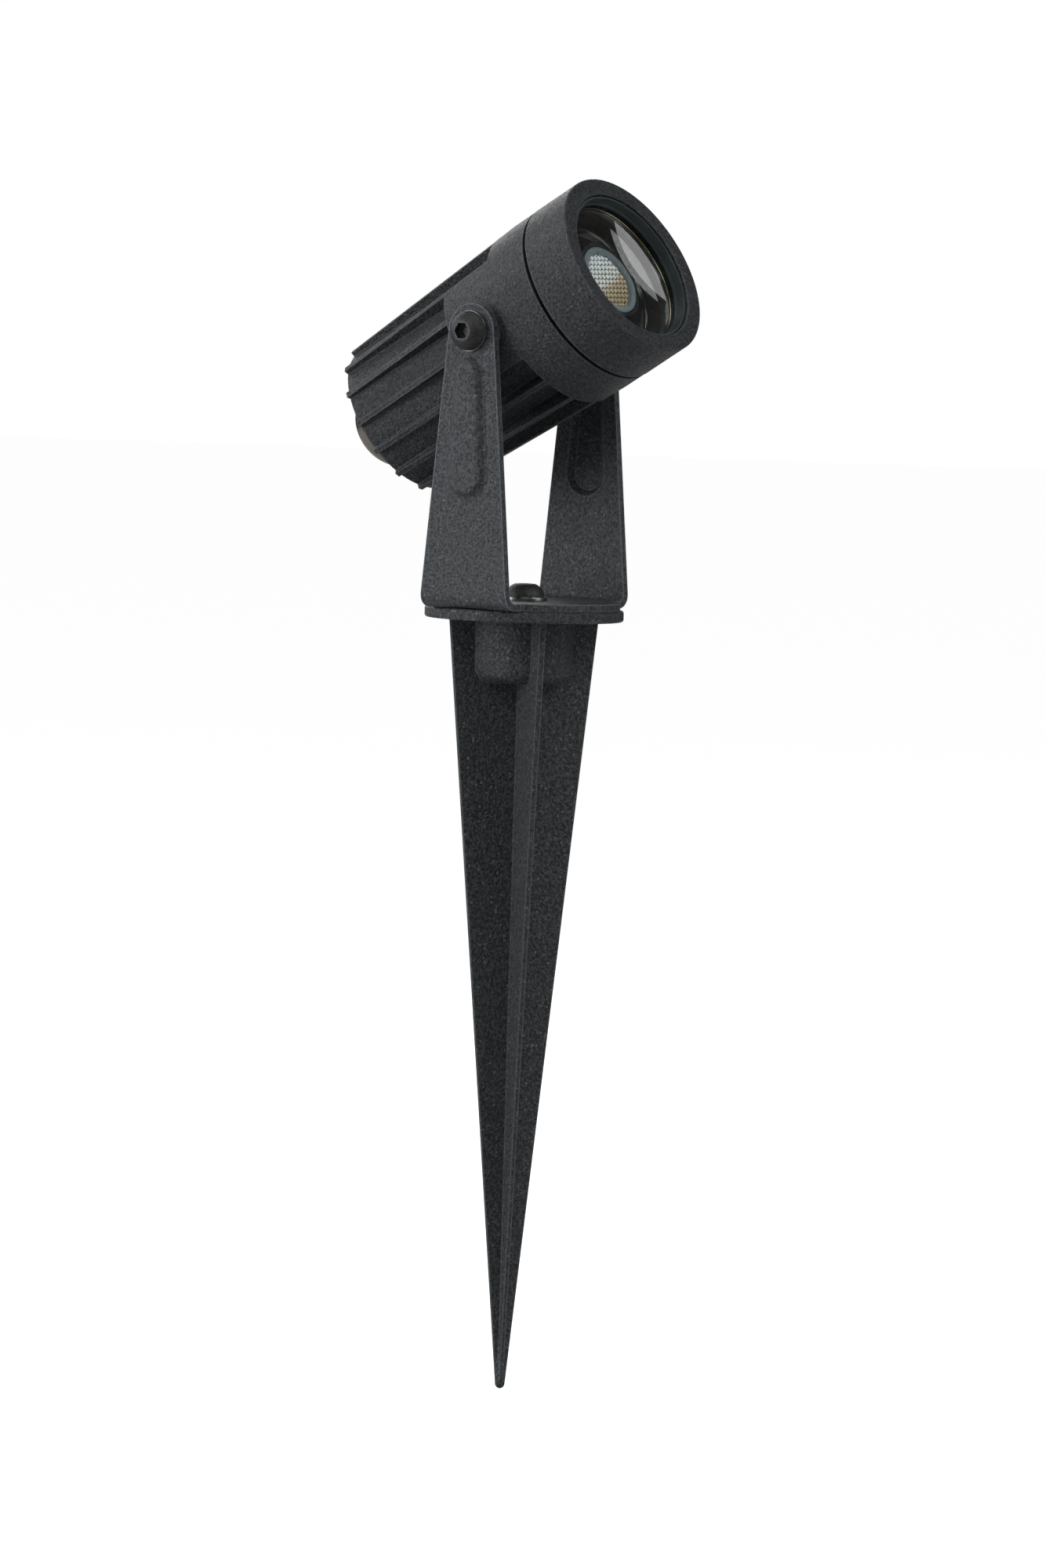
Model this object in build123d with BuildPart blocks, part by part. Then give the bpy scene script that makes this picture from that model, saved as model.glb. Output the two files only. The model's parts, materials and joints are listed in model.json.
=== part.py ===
"""Garden spike spotlight: a ribbed LED projector head held in a folded yoke on a
four-bladed ground stake.

Frame: millimetres, +Z up, origin at the centre of the stake flange's underside,
which is ground level once the stake is pushed in. The pivot axis of the head is
parallel to X. At rest the beam leaves towards -Y, raised by HEAD_TILT.

Stations along the head are given as distances d from the pivot, positive towards
the front glass. Turned outlines are lists of (radius, d).
"""
import os
from math import acos, asin, atan2, cos, radians, sin, sqrt, tan

from build123d import *

os.makedirs("parts", exist_ok=True)

# ---------------------------------------------------------------- dimensions
# ground stake
FLANGE_R = 26.4
FLANGE_T = 3.0
STAKE_TURN = -130.0          # bearing of the first blade, degrees from +X
STAKE_LENGTH = 205.0         # below the flange
BLADE_REACH_TOP = 20.3
BLADE_REACH_TIP = 1.25
BLADE_ROOT_HALF = 1.6
BLADE_EDGE_HALF = 0.85
SOCKET_R = 13.4
SOCKET_DEPTH = 17.0
SOCKET_FILLET = 4.4
# yoke bracket
SHEET_T = 2.0
YOKE_INNER_X = 26.1
YOKE_OUTER_X = YOKE_INNER_X + SHEET_T
BEND_IN = 2.0
BEND_OUT = BEND_IN + SHEET_T
YOKE_BASE_R = 25.4
ARM_BASE_HALF = 13.9
ARM_TOP_R = 7.25
PIVOT_Z = 76.2
EMBOSS_LOW_R = 7.0           # pressed rib, lower end
EMBOSS_LOW_Z = 38.4
EMBOSS_TOP_R = 5.0           # pressed rib, upper end
EMBOSS_TOP_Z = 65.2
EMBOSS_HEIGHT = 1.9
EMBOSS_FOOT = 0.35           # shallow first step of the rib's flank
EMBOSS_SLOPE = 44.0
# screws (M6 button head, hexagon socket)
M6_R = 2.90
M6_THREAD_R = 2.95
M6_CLEAR_R = 3.25
M6_HEAD_R = 5.25
M6_HEAD_H = 3.3
M6_SOCKET_AF = 4.0
WASHER_R = 6.0
WASHER_T = 1.0
PIVOT_WASHER_R = 5.35
FACE_GAP = 0.05
# projector head
HEAD_TILT = 30.7             # beam elevation at rest
BEZEL_R = 25.8
BEZEL_FRONT = 36.6
BEZEL_BACK = 22.1
BEZEL_APERTURE_R = 21.0
COLLAR_R = 25.7
COLLAR_FRONT = 21.0
COLLAR_STRAIGHT = 14.0       # rear end of the cylindrical part of the collar
BODY_BACK = -48.0
BODY_BACK_R = 22.6
RIB_CORE_R = 21.3
RIB_HALF = 0.75
RIB_COUNT = 16
RIB_START = 5.0              # angle of the first rib from the -X side
SLOT_FRONT = 7.5
SLOT_FRONT_SIDE = -9.0
BOSS_R = 7.0
BOSS_X = 25.4
SPIGOT_R = 23.3
SPIGOT_FRONT = 28.8
FRONT_BORE_R = 20.6
REAR_BORE_R = 17.0
LED_FLOOR = 8.0
REAR_WALL = -42.5
# optics
GLASS_R = 23.0
GLASS_BACK = 29.7
GLASS_FRONT = 32.9
LENS_FRONT = 27.4
LENS_BACK = 14.6
LENS_R = 10.0
# cable gland
GLAND_DOME_R = 12.2
GLAND_SHANK_R = 5.95
CABLE_R = 3.4

# ---------------------------------------------------------------- planes
TILT = radians(HEAD_TILT)
U = Vector(0, -cos(TILT), sin(TILT))         # beam direction at rest
PIVOT = Vector(0, 0, PIVOT_Z)
HEAD_AXIS = Axis(PIVOT, U)
# local x is the radius towards -X, local y runs along the beam
PROFILE = Plane(origin=PIVOT, x_dir=(-1, 0, 0), z_dir=(0, sin(TILT), cos(TILT)))


def across(d):
    """Plane square to the beam at station d; local x to -X, local z forward."""
    return Plane(origin=PIVOT + U * d, x_dir=(-1, 0, 0), z_dir=U)


def save(piece, name):
    piece.label = name
    export_step(piece, f"parts/{name}.step")


def blade_cross(reach, root, edge):
    """Outline of a cross whose four blades taper from root to edge."""
    pts = []
    for k in range(4):
        a = radians(90 * k)
        for x, y in ((reach, -edge), (reach, edge), (root, root)):
            pts.append((x * cos(a) - y * sin(a), x * sin(a) + y * cos(a)))
    return pts


# ================================================================ ground stake
STAKE_PLANE = Plane.XY.rotated((0, 0, STAKE_TURN))
TIP = -STAKE_LENGTH
with BuildPart() as ground_stake:
    with BuildSketch(Plane.XY):
        Circle(FLANGE_R)
    extrude(amount=FLANGE_T)
    fillet(ground_stake.edges().filter_by(GeomType.CIRCLE), 0.7)
    # socket boss under the flange
    with BuildSketch(Plane.XZ) as boss_sk:
        Polygon((0, 1.0), (SOCKET_R, 1.0), (SOCKET_R - 0.3, -SOCKET_DEPTH),
                (0, -SOCKET_DEPTH), align=None)
        fillet(boss_sk.vertices().filter_by(lambda v: v.X > 5 and v.Y < -5), SOCKET_FILLET)
    revolve(axis=Axis.Z)
    # four tapering blades
    with BuildSketch(STAKE_PLANE.offset(0.5)):
        Polygon(*blade_cross(BLADE_REACH_TOP, BLADE_ROOT_HALF, BLADE_EDGE_HALF), align=None)
    with BuildSketch(STAKE_PLANE.offset(TIP + 1.6)):
        Polygon(*blade_cross(BLADE_REACH_TIP, 0.7, 0.5), align=None)
    loft(ruled=True)
    # rounded tip
    with BuildSketch(Plane.XZ):
        with BuildLine():
            Polyline((0, TIP), (0, TIP + 14.0), (1.2, TIP + 11.0), (1.3, TIP + 1.3))
            ThreePointArc(
                (1.3, TIP + 1.3),
                (1.3 * sin(radians(45)), TIP + 1.3 * (1 - cos(radians(45)))),
                (0, TIP),
            )
        make_face()
    revolve(axis=Axis.Z)
    # cored pocket round the post that takes the insert, covered by the yoke
    with BuildSketch(Plane.XY.offset(FLANGE_T)):
        Circle(11.0)
        Circle(6.4, mode=Mode.SUBTRACT)
    extrude(amount=-(FLANGE_T + SOCKET_DEPTH - 6.0), mode=Mode.SUBTRACT)
    with BuildSketch(Plane.XY.offset(FLANGE_T)):
        Circle(4.3)
    extrude(amount=-12.0, mode=Mode.SUBTRACT)
    with BuildSketch(Plane.XY.offset(FLANGE_T)):
        Circle(M6_CLEAR_R)
    extrude(amount=-15.0, mode=Mode.SUBTRACT)
save(ground_stake.part, "ground_stake")

with BuildPart() as stake_insert:
    with BuildSketch(Plane.XY.offset(FLANGE_T - 0.1)):
        Circle(4.25)
        Circle(M6_THREAD_R, mode=Mode.SUBTRACT)
    extrude(amount=-11.7)
    # two knurl reliefs
    for z in (-1.2, -5.2):
        with BuildSketch(Plane.XY.offset(z)):
            Circle(5.0)
            Circle(3.9, mode=Mode.SUBTRACT)
        extrude(amount=-1.4, mode=Mode.SUBTRACT)
save(stake_insert.part, "stake_insert")

# ================================================================ yoke bracket
Z0 = FLANGE_T + FACE_GAP           # underside of the yoke
Z1 = Z0 + SHEET_T                  # top of its base
BEND_X = YOKE_INNER_X - BEND_IN
_dz = PIVOT_Z - Z1
_dist = sqrt(_dz * _dz + ARM_BASE_HALF * ARM_BASE_HALF)
_flank = acos(ARM_TOP_R / _dist) + atan2(ARM_BASE_HALF, _dz)
ARM_TAN_Y = ARM_TOP_R * sin(_flank)
ARM_TAN_Z = PIVOT_Z - ARM_TOP_R * cos(_flank)

with BuildPart() as yoke_bracket:
    # round base plate, cut back where the arms turn up
    with BuildSketch(Plane.XY.offset(Z0)):
        Circle(YOKE_BASE_R)
        Rectangle(2 * BEND_X, 2 * ARM_BASE_HALF)
        with Locations((BEND_X + 5, 0), (-BEND_X - 5, 0)):
            Rectangle(10, 80, mode=Mode.SUBTRACT)
    extrude(amount=SHEET_T)
    # folded uprights
    for sx in (1, -1):
        with BuildSketch(Plane.XZ.offset(-ARM_BASE_HALF)):
            with BuildLine():
                Line((sx * BEND_X, Z0), (sx * BEND_X, Z1))
                ThreePointArc(
                    (sx * BEND_X, Z1),
                    (sx * (BEND_X + BEND_IN * sin(radians(45))),
                     Z1 + BEND_IN * (1 - cos(radians(45)))),
                    (sx * YOKE_INNER_X, Z1 + BEND_IN),
                )
                Polyline(
                    (sx * YOKE_INNER_X, Z1 + BEND_IN),
                    (sx * YOKE_INNER_X, PIVOT_Z + ARM_TOP_R + 2),
                    (sx * YOKE_OUTER_X, PIVOT_Z + ARM_TOP_R + 2),
                    (sx * YOKE_OUTER_X, Z0 + BEND_OUT),
                )
                ThreePointArc(
                    (sx * YOKE_OUTER_X, Z0 + BEND_OUT),
                    (sx * (BEND_X + BEND_OUT * sin(radians(45))),
                     Z0 + BEND_OUT * (1 - cos(radians(45)))),
                    (sx * BEND_X, Z0),
                )
            make_face()
        extrude(amount=2 * ARM_BASE_HALF)
    # trim the uprights to the tapering outline with a rounded top
    with BuildSketch(Plane.YZ.offset(-40)):
        with Locations((0, 60)):
            Rectangle(70, 2 * (60 - Z1))
        with BuildLine():
            Line((-ARM_TAN_Y, ARM_TAN_Z), (-ARM_BASE_HALF, Z1))
            Polyline((-ARM_BASE_HALF, Z1), (-ARM_BASE_HALF, Z1 - 3),
                     (ARM_BASE_HALF, Z1 - 3), (ARM_BASE_HALF, Z1))
            Line((ARM_BASE_HALF, Z1), (ARM_TAN_Y, ARM_TAN_Z))
            ThreePointArc((ARM_TAN_Y, ARM_TAN_Z), (0, PIVOT_Z + ARM_TOP_R),
                          (-ARM_TAN_Y, ARM_TAN_Z))
        make_face(mode=Mode.SUBTRACT)
    extrude(amount=80, mode=Mode.SUBTRACT)
    # long pressed ribs, standing out of each arm and hollow behind, with soft edges
    for sx in (1, -1):
        with BuildSketch(Plane(origin=(sx * YOKE_OUTER_X, 0, 0), x_dir=(0, 1, 0),
                               z_dir=(sx, 0, 0))) as rib_sk:
            side = sx  # local y is up on one arm and down on the other
            with Locations((0, side * EMBOSS_LOW_Z)):
                Circle(EMBOSS_LOW_R)
            with Locations((0, side * EMBOSS_TOP_Z)):
                Circle(EMBOSS_TOP_R)
            make_hull()
        extrude(amount=EMBOSS_FOOT, taper=68)
        shrink = EMBOSS_FOOT * tan(radians(68))
        with BuildSketch(Plane(origin=(sx * (YOKE_OUTER_X + EMBOSS_FOOT), 0, 0),
                               x_dir=(0, 1, 0), z_dir=(sx, 0, 0))):
            with Locations((0, side * EMBOSS_LOW_Z)):
                Circle(EMBOSS_LOW_R - shrink)
            with Locations((0, side * EMBOSS_TOP_Z)):
                Circle(EMBOSS_TOP_R - shrink)
            make_hull()
        extrude(amount=EMBOSS_HEIGHT - EMBOSS_FOOT, taper=EMBOSS_SLOPE)
        crown = yoke_bracket.faces().sort_by(Axis.X)[-1 if sx > 0 else 0]
        fillet(crown.edges(), 2.0)
        with BuildSketch(Plane(origin=(sx * YOKE_INNER_X, 0, 0), x_dir=(0, 1, 0),
                               z_dir=(sx, 0, 0))):
            with Locations((0, side * EMBOSS_LOW_Z)):
                Circle(EMBOSS_LOW_R - 1.0)
            with Locations((0, side * EMBOSS_TOP_Z)):
                Circle(EMBOSS_TOP_R - 1.0)
            make_hull()
        extrude(amount=EMBOSS_HEIGHT - 0.3, taper=EMBOSS_SLOPE, mode=Mode.SUBTRACT)
    # pivot holes and base hole
    with BuildSketch(Plane.YZ.offset(-40)):
        with Locations((0, PIVOT_Z)):
            Circle(M6_CLEAR_R)
    extrude(amount=80, mode=Mode.SUBTRACT)
    with BuildSketch(Plane.XY):
        Circle(M6_CLEAR_R)
    extrude(amount=10, mode=Mode.SUBTRACT)
save(yoke_bracket.part, "yoke_bracket")

# ================================================================ base fixing
BASE_WASHER_Z = Z1 + FACE_GAP
BASE_HEAD_Z = BASE_WASHER_Z + WASHER_T
with BuildPart() as base_washer:
    with BuildSketch(Plane.XY.offset(BASE_WASHER_Z)):
        Circle(WASHER_R)
        Circle(3.2, mode=Mode.SUBTRACT)
    extrude(amount=WASHER_T)
    chamfer(base_washer.edges().group_by(Axis.Z)[-1].sort_by(SortBy.LENGTH)[-1], 0.25)
save(base_washer.part, "base_washer")

with BuildPart() as base_screw:
    with BuildSketch(Plane.XZ):
        with BuildLine():
            Polyline((0, BASE_HEAD_Z - 11.5), (M6_R - 0.6, BASE_HEAD_Z - 11.5),
                     (M6_R, BASE_HEAD_Z - 10.9), (M6_R, BASE_HEAD_Z),
                     (M6_HEAD_R, BASE_HEAD_Z), (M6_HEAD_R, BASE_HEAD_Z + 0.35))
            ThreePointArc((M6_HEAD_R, BASE_HEAD_Z + 0.35), (4.35, BASE_HEAD_Z + 2.15),
                          (2.7, BASE_HEAD_Z + M6_HEAD_H))
            Polyline((2.7, BASE_HEAD_Z + M6_HEAD_H), (0, BASE_HEAD_Z + M6_HEAD_H),
                     (0, BASE_HEAD_Z - 11.5))
        make_face()
    revolve(axis=Axis.Z)
    with BuildSketch(Plane.XY.offset(BASE_HEAD_Z + M6_HEAD_H)):
        RegularPolygon(M6_SOCKET_AF / 2, 6, major_radius=False)
    extrude(amount=-2.1, mode=Mode.SUBTRACT)
save(base_screw.part, "base_screw")

# ================================================================ pivot hardware
FRICTION_IN = BOSS_X
FRICTION_OUT = YOKE_INNER_X - FACE_GAP
PW_IN = YOKE_OUTER_X + FACE_GAP
PW_OUT = PW_IN + WASHER_T
PIVOT_TIP = 18.7
with BuildPart() as friction_washers:
    for sx in (1, -1):
        with BuildSketch(Plane(origin=(sx * FRICTION_IN, 0, PIVOT_Z), x_dir=(0, 1, 0),
                               z_dir=(sx, 0, 0))):
            Circle(6.6)
            Circle(3.2, mode=Mode.SUBTRACT)
        extrude(amount=FRICTION_OUT - FRICTION_IN)
save(friction_washers.part, "friction_washers")

with BuildPart() as pivot_washers:
    for sx in (1, -1):
        with BuildSketch(Plane(origin=(sx * PW_IN, 0, PIVOT_Z), x_dir=(0, 1, 0),
                               z_dir=(sx, 0, 0))):
            Circle(PIVOT_WASHER_R)
            Circle(3.2, mode=Mode.SUBTRACT)
        extrude(amount=WASHER_T)
save(pivot_washers.part, "pivot_washers")

with BuildPart() as pivot_screws:
    for sx in (1, -1):
        with BuildSketch(Plane(origin=(0, 0, PIVOT_Z), x_dir=(sx, 0, 0), z_dir=(0, -sx, 0))):
            with BuildLine():
                Polyline((PIVOT_TIP, 0), (PIVOT_TIP, M6_R - 0.6), (PIVOT_TIP + 0.6, M6_R),
                         (PW_OUT, M6_R), (PW_OUT, M6_HEAD_R), (PW_OUT + 0.35, M6_HEAD_R))
                ThreePointArc((PW_OUT + 0.35, M6_HEAD_R), (PW_OUT + 2.15, 4.35),
                              (PW_OUT + M6_HEAD_H, 2.7))
                Polyline((PW_OUT + M6_HEAD_H, 2.7), (PW_OUT + M6_HEAD_H, 0), (PIVOT_TIP, 0))
            make_face()
        revolve(axis=Axis((0, 0, PIVOT_Z), (1, 0, 0)))
        with BuildSketch(Plane(origin=(sx * (PW_OUT + M6_HEAD_H), 0, PIVOT_Z),
                               x_dir=(0, 1, 0), z_dir=(sx, 0, 0))):
            RegularPolygon(M6_SOCKET_AF / 2, 6, major_radius=False)
        extrude(amount=-2.1, mode=Mode.SUBTRACT)
save(pivot_screws.part, "pivot_screws")

# ================================================================ housing
with BuildPart() as housing:
    # turned envelope with the front spigot
    with BuildSketch(PROFILE):
        Polygon((0, BODY_BACK), (BODY_BACK_R, BODY_BACK), (COLLAR_R, COLLAR_STRAIGHT),
                (COLLAR_R, COLLAR_FRONT), (SPIGOT_R - 1.2, COLLAR_FRONT),
                (SPIGOT_R - 1.2, COLLAR_FRONT + 1.6), (SPIGOT_R, COLLAR_FRONT + 1.6),
                (SPIGOT_R, SPIGOT_FRONT), (0, SPIGOT_FRONT), align=None)
    revolve(axis=HEAD_AXIS)
    # grooves between the ribs, starting further back beside the pivot bosses
    with BuildSketch(across(BODY_BACK)):
        Circle(30)
        Circle(RIB_CORE_R, mode=Mode.SUBTRACT)
        with PolarLocations(25, RIB_COUNT, start_angle=RIB_START):
            Rectangle(12, 2 * RIB_HALF, mode=Mode.SUBTRACT)
    extrude(amount=SLOT_FRONT_SIDE - BODY_BACK, mode=Mode.SUBTRACT)
    with BuildSketch(across(SLOT_FRONT_SIDE - 0.5)):
        Circle(30)
        Circle(RIB_CORE_R, mode=Mode.SUBTRACT)
        with PolarLocations(25, RIB_COUNT, start_angle=RIB_START):
            Rectangle(12, 2 * RIB_HALF, mode=Mode.SUBTRACT)
        for a in (-6.25, 173.75):
            with Locations(Rotation(0, 0, a)):
                Polygon((0, 0), (40, -40 * 0.6745), (40, 40 * 0.6745), align=None,
                        mode=Mode.SUBTRACT)
    extrude(amount=SLOT_FRONT - SLOT_FRONT_SIDE + 0.5, mode=Mode.SUBTRACT)
    # pivot bosses
    with BuildSketch(Plane.YZ.offset(-BOSS_X)):
        with Locations((0, PIVOT_Z)):
            Circle(BOSS_R)
    extrude(amount=2 * BOSS_X)
    # cavities
    with BuildSketch(PROFILE):
        Polygon((0, REAR_WALL), (REAR_BORE_R, REAR_WALL), (REAR_BORE_R, LED_FLOOR),
                (FRONT_BORE_R, LED_FLOOR), (FRONT_BORE_R, SPIGOT_FRONT + 1),
                (0, SPIGOT_FRONT + 1), align=None)
    revolve(axis=HEAD_AXIS, mode=Mode.SUBTRACT)
    # entry for the cable gland
    with BuildSketch(across(REAR_WALL + 1)):
        Circle(GLAND_SHANK_R + 0.05)
    extrude(amount=-10, mode=Mode.SUBTRACT)
    # tapped pivot holes
    for sx in (1, -1):
        with BuildSketch(Plane(origin=(sx * (BOSS_X + 1), 0, PIVOT_Z), x_dir=(0, 1, 0),
                               z_dir=(sx, 0, 0))):
            Circle(M6_THREAD_R)
        extrude(amount=-(BOSS_X + 1 - PIVOT_TIP + 0.5), mode=Mode.SUBTRACT)
    # tapped holes for the carrier plate
    with BuildSketch(across(LED_FLOOR + 1)):
        with PolarLocations(18.8, 3, start_angle=90):
            Circle(1.15)
    extrude(amount=-7, mode=Mode.SUBTRACT)
save(housing.part, "housing")

# ================================================================ front end
with BuildPart() as bezel_ring:
    with BuildSketch(PROFILE) as bezel_sk:
        Polygon((BEZEL_R, BEZEL_BACK), (BEZEL_R, BEZEL_FRONT), (BEZEL_APERTURE_R, BEZEL_FRONT),
                (BEZEL_APERTURE_R + 0.25, GLASS_FRONT + 0.7), (SPIGOT_R + 0.1, GLASS_FRONT + 0.7),
                (SPIGOT_R + 0.1, BEZEL_BACK), align=None)
        fillet(bezel_sk.vertices().filter_by(lambda v: v.Y > BEZEL_FRONT - 0.1), 0.45)
    revolve(axis=HEAD_AXIS)
save(bezel_ring.part, "bezel_ring")

with BuildPart() as bezel_oring:
    with BuildSketch(PROFILE):
        with Locations((SPIGOT_R - 1.2 + 0.62, COLLAR_FRONT + 0.8)):
            Circle(0.61)
    revolve(axis=HEAD_AXIS)
save(bezel_oring.part, "bezel_oring")

with BuildPart() as front_glass:
    with BuildSketch(PROFILE) as glass_sk:
        Polygon((0, GLASS_BACK), (GLASS_R, GLASS_BACK), (GLASS_R, GLASS_FRONT),
                (0, GLASS_FRONT), align=None)
        chamfer(glass_sk.vertices().filter_by(lambda v: v.X > 10), 0.5)
    revolve(axis=HEAD_AXIS)
save(front_glass.part, "front_glass")

with BuildPart() as glass_gasket:
    with BuildSketch(PROFILE) as gasket_sk:
        Polygon((19.7, GLASS_FRONT), (SPIGOT_R, GLASS_FRONT), (SPIGOT_R, GLASS_FRONT + 0.65),
                (20.85, GLASS_FRONT + 0.65), (20.85, GLASS_FRONT + 2.9),
                (20.3, GLASS_FRONT + 2.9), (20.25, GLASS_FRONT + 0.6),
                (19.7, GLASS_FRONT + 0.6), align=None)
    revolve(axis=HEAD_AXIS)
save(glass_gasket.part, "glass_gasket")

with BuildPart() as glass_seat:
    with BuildSketch(PROFILE):
        Polygon((20.2, SPIGOT_FRONT), (SPIGOT_R, SPIGOT_FRONT), (SPIGOT_R, GLASS_BACK),
                (20.2, GLASS_BACK), align=None)
    revolve(axis=HEAD_AXIS)
save(glass_seat.part, "glass_seat")

# ================================================================ light engine
PLATE_FRONT = LED_FLOOR + 3.5
PAD_FRONT = PLATE_FRONT + 0.3
BOARD_FRONT = PAD_FRONT + 1.5
with BuildPart() as carrier_plate:
    with BuildSketch(across(LED_FLOOR)):
        Circle(FRONT_BORE_R - 0.1)
        with PolarLocations(18.8, 3, start_angle=90):
            Circle(1.3, mode=Mode.SUBTRACT)
        with Locations((-13.6, 0)):
            Circle(2.2, mode=Mode.SUBTRACT)
        with PolarLocations(8.0, 2, start_angle=90):
            Circle(0.95, mode=Mode.SUBTRACT)
    extrude(amount=PLATE_FRONT - LED_FLOOR)
save(carrier_plate.part, "carrier_plate")

with BuildPart() as plate_screws:
    with BuildSketch(across(PLATE_FRONT)):
        with PolarLocations(18.55, 3, start_angle=90):
            Circle(1.9)
    extrude(amount=1.6)
    with BuildSketch(across(PLATE_FRONT)):
        with PolarLocations(18.8, 3, start_angle=90):
            Circle(1.1)
    extrude(amount=-8.5)
    with BuildSketch(across(PLATE_FRONT + 1.6)):
        with PolarLocations(18.55, 3, start_angle=90):
            Rectangle(2.4, 0.6)
            Rectangle(0.6, 2.4)
    extrude(amount=-0.8, mode=Mode.SUBTRACT)
save(plate_screws.part, "plate_screws")

with BuildPart() as thermal_pad:
    with BuildSketch(across(PLATE_FRONT)):
        Circle(10.6)
        with PolarLocations(8.0, 2, start_angle=90):
            Circle(1.2, mode=Mode.SUBTRACT)
    extrude(amount=PAD_FRONT - PLATE_FRONT)
save(thermal_pad.part, "thermal_pad")

with BuildPart() as led_board:
    with BuildSketch(across(PAD_FRONT)):
        Circle(11.0)
        with PolarLocations(8.0, 2, start_angle=90):
            Circle(1.0, mode=Mode.SUBTRACT)
    extrude(amount=BOARD_FRONT - PAD_FRONT)
save(led_board.part, "led_board")

with BuildPart() as board_screws:
    with BuildSketch(across(BOARD_FRONT)):
        with PolarLocations(8.0, 2, start_angle=90):
            Circle(1.6)
    extrude(amount=1.1)
    with BuildSketch(across(BOARD_FRONT)):
        with PolarLocations(8.0, 2, start_angle=90):
            Circle(0.9)
    extrude(amount=-4.5)
save(board_screws.part, "board_screws")

with BuildPart() as led_chip:
    with BuildSketch(across(BOARD_FRONT)):
        Rectangle(3.5, 3.5)
    extrude(amount=0.7)
    with BuildSketch(Plane(origin=PIVOT + U * (BOARD_FRONT + 0.7), x_dir=(-1, 0, 0),
                           z_dir=(0, sin(TILT), cos(TILT)))):
        with BuildLine():
            Line((0, -0.3), (1.4, -0.3))
            Line((1.4, -0.3), (1.4, 0))
            ThreePointArc((1.4, 0), (1.4 * sin(radians(45)), 1.4 * sin(radians(45))), (0, 1.4))
            Line((0, 1.4), (0, -0.3))
        make_face()
    revolve(axis=HEAD_AXIS)
save(led_chip.part, "led_chip")

LENS_WELL_R = (2.7 ** 2 + 0.8 ** 2) / (2 * 0.8)
LENS_WELL_A = asin(2.7 / LENS_WELL_R)
with BuildPart() as tir_lens:
    with BuildSketch(PROFILE):
        with BuildLine():
            Polyline((0, LENS_FRONT - 0.4), (8.9, LENS_FRONT - 0.4), (8.9, LENS_FRONT),
                     (LENS_R, LENS_FRONT), (LENS_R, LENS_FRONT - 1.4), (9.5, LENS_FRONT - 1.4))
            ThreePointArc((9.5, LENS_FRONT - 1.4), (7.6, LENS_BACK + 5.0), (4.0, LENS_BACK))
            Polyline((4.0, LENS_BACK), (3.1, LENS_BACK), (2.7, LENS_BACK + 4.2))
            ThreePointArc(
                (2.7, LENS_BACK + 4.2),
                (LENS_WELL_R * sin(LENS_WELL_A / 2),
                 LENS_BACK + 3.4 + LENS_WELL_R * (1 - cos(LENS_WELL_A / 2))),
                (0, LENS_BACK + 3.4),
            )
            Line((0, LENS_BACK + 3.4), (0, LENS_FRONT - 0.4))
        make_face()
    revolve(axis=HEAD_AXIS)
save(tir_lens.part, "tir_lens")

with BuildPart() as lens_holder:
    with BuildSketch(PROFILE):
        Polygon((LENS_R + 0.1, LENS_FRONT - 1.0), (LENS_R + 1.0, LENS_FRONT - 1.0),
                (LENS_R + 1.0, BOARD_FRONT + 0.02), (LENS_R - 0.3, BOARD_FRONT + 0.02),
                (LENS_R - 0.3, LENS_FRONT - 4.4), (9.0, LENS_FRONT - 4.4),
                (9.55, LENS_FRONT - 1.6), (LENS_R + 0.1, LENS_FRONT - 1.6), align=None)
    revolve(axis=HEAD_AXIS)
    # feet straddle the leads
    with BuildSketch(across(BOARD_FRONT)):
        with Locations((-10.4, 0)):
            Rectangle(3, 5)
    extrude(amount=4.4, mode=Mode.SUBTRACT)
save(lens_holder.part, "lens_holder")

with BuildPart() as inner_shade:
    with BuildSketch(PROFILE):
        Polygon((11.3, 22.2), (12.2, 23.4), (19.2, 24.0), (19.6, SPIGOT_FRONT - 0.3),
                (FRONT_BORE_R - 0.1, SPIGOT_FRONT - 0.3), (FRONT_BORE_R - 0.1, 15.0),
                (FRONT_BORE_R - 0.9, 15.0), (FRONT_BORE_R - 0.9, 22.9), (12.4, 22.2),
                align=None)
    revolve(axis=HEAD_AXIS)
save(inner_shade.part, "inner_shade")

# ================================================================ driver
CUP_BACK = -37.0
CUP_FRONT = -5.0
with BuildPart() as driver_cup:
    with BuildSketch(PROFILE):
        Polygon((4.2, CUP_BACK), (REAR_BORE_R - 0.2, CUP_BACK), (REAR_BORE_R - 0.2, CUP_FRONT),
                (REAR_BORE_R - 1.3, CUP_FRONT), (REAR_BORE_R - 1.3, CUP_BACK + 1.2),
                (4.2, CUP_BACK + 1.2), align=None)
    revolve(axis=HEAD_AXIS)
save(driver_cup.part, "driver_cup")

# local x to -X, local y along the beam, local z towards the top of the head
BOARD_TOP = -3.0
BOARD = Plane(origin=PIVOT, x_dir=(-1, 0, 0), z_dir=(0, sin(TILT), cos(TILT)))
with BuildPart() as driver_board:
    with BuildSketch(BOARD.offset(BOARD_TOP)):
        with Locations((0, -21.0)):
            RectangleRounded(28.0, 28.0, 1.0)
    extrude(amount=-1.5)
save(driver_board.part, "driver_board")

with BuildPart() as driver_coil:
    with BuildSketch(BOARD.offset(BOARD_TOP)):
        with Locations((6.5, -14.0)):
            Circle(4.6)
    extrude(amount=6.5)
    with BuildSketch(BOARD.offset(BOARD_TOP + 1.0)):
        with Locations((6.5, -14.0)):
            Circle(5.0)
            Circle(3.6, mode=Mode.SUBTRACT)
    extrude(amount=4.5, mode=Mode.SUBTRACT)
save(driver_coil.part, "driver_coil")

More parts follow.
